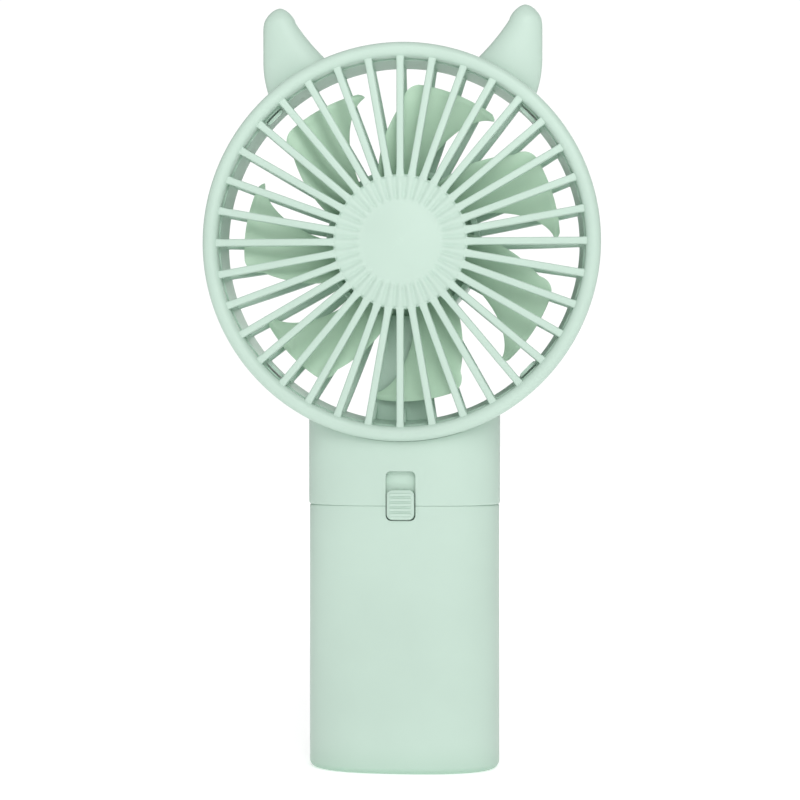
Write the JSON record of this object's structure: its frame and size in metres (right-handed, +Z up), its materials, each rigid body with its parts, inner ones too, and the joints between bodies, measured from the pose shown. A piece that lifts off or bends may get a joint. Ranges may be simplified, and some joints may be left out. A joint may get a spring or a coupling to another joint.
{
  "type": "handheld electric fan",
  "caption": "Small battery hand fan with a round ribbed head, two plug-in horns, an oval neck and a pull-off battery sleeve.",
  "frame": {"origin": "centre of the flat face that the battery sleeve stands on", "axes": "+Z up along the handle, the fan blows towards -Y, +X to the right seen from the front"},
  "size_m": [0.0934, 0.0277, 0.1811],
  "materials": {
    "shell_plastic": "fine satin moulded plastic, pale mint green",
    "blade_plastic": "satin moulded plastic, slightly deeper green",
    "inner_plastic": "plain moulded plastic",
    "motor_steel": "zinc-plated drawn steel",
    "bright_steel": "nickel-plated steel",
    "magnet": "dark sintered ferrite",
    "copper": "copper",
    "brass": "brass",
    "bronze": "oil-filled sintered bronze",
    "cell_sleeve": "glossy shrink film on a steel cell",
    "switch_plastic": "black moulded plastic",
    "red_insulation": "soft red wire insulation",
    "black_insulation": "soft black wire insulation"
  },
  "bodies": {
    "sleeve": {"battery_sleeve": "shell_plastic"},
    "upper": {"front_grille": "shell_plastic", "rear_housing": "shell_plastic", "left_horn": "shell_plastic", "right_horn": "shell_plastic", "neck_front_shell": "shell_plastic", "neck_rear_shell": "shell_plastic", "battery_tray": "inner_plastic", "motor_end_cap": "inner_plastic", "motor_can": "motor_steel", "motor_magnets": "magnet", "motor_brushes": "copper", "motor_terminals": "brass", "slide_switch_pins": "brass", "front_bush": "bronze", "rear_bush": "bronze", "neck_screws": "bright_steel", "battery_left": "cell_sleeve", "battery_right": "cell_sleeve", "contact_springs": "bright_steel", "contact_plates": "bright_steel", "bridge_plate": "bright_steel", "slide_switch_case": "switch_plastic", "wire_red": "red_insulation", "wire_black": "black_insulation", "wire_link": "red_insulation"},
    "rotor": {"impeller": "blade_plastic", "motor_armature": "motor_steel", "motor_windings": "copper", "commutator": "copper", "motor_shaft": "bright_steel"},
    "knob": {"switch_knob": "shell_plastic", "switch_shutter": "shell_plastic", "slide_switch_lever": "switch_plastic"}
  },
  "joints": [
    {"name": "chassis_lift", "type": "slide", "parent": "sleeve", "child": "upper", "axis": [0, 0, 1], "range_m": [0, 0.064]},
    {"name": "impeller_spin", "type": "hinge", "parent": "upper", "child": "rotor", "pos_m": [0, 0, 0.1249], "axis": [0, 1, 0], "continuous": true},
    {"name": "switch_slide", "type": "slide", "parent": "upper", "child": "knob", "axis": [0, 0, 1], "range_m": [0, 0.0041]}
  ]
}
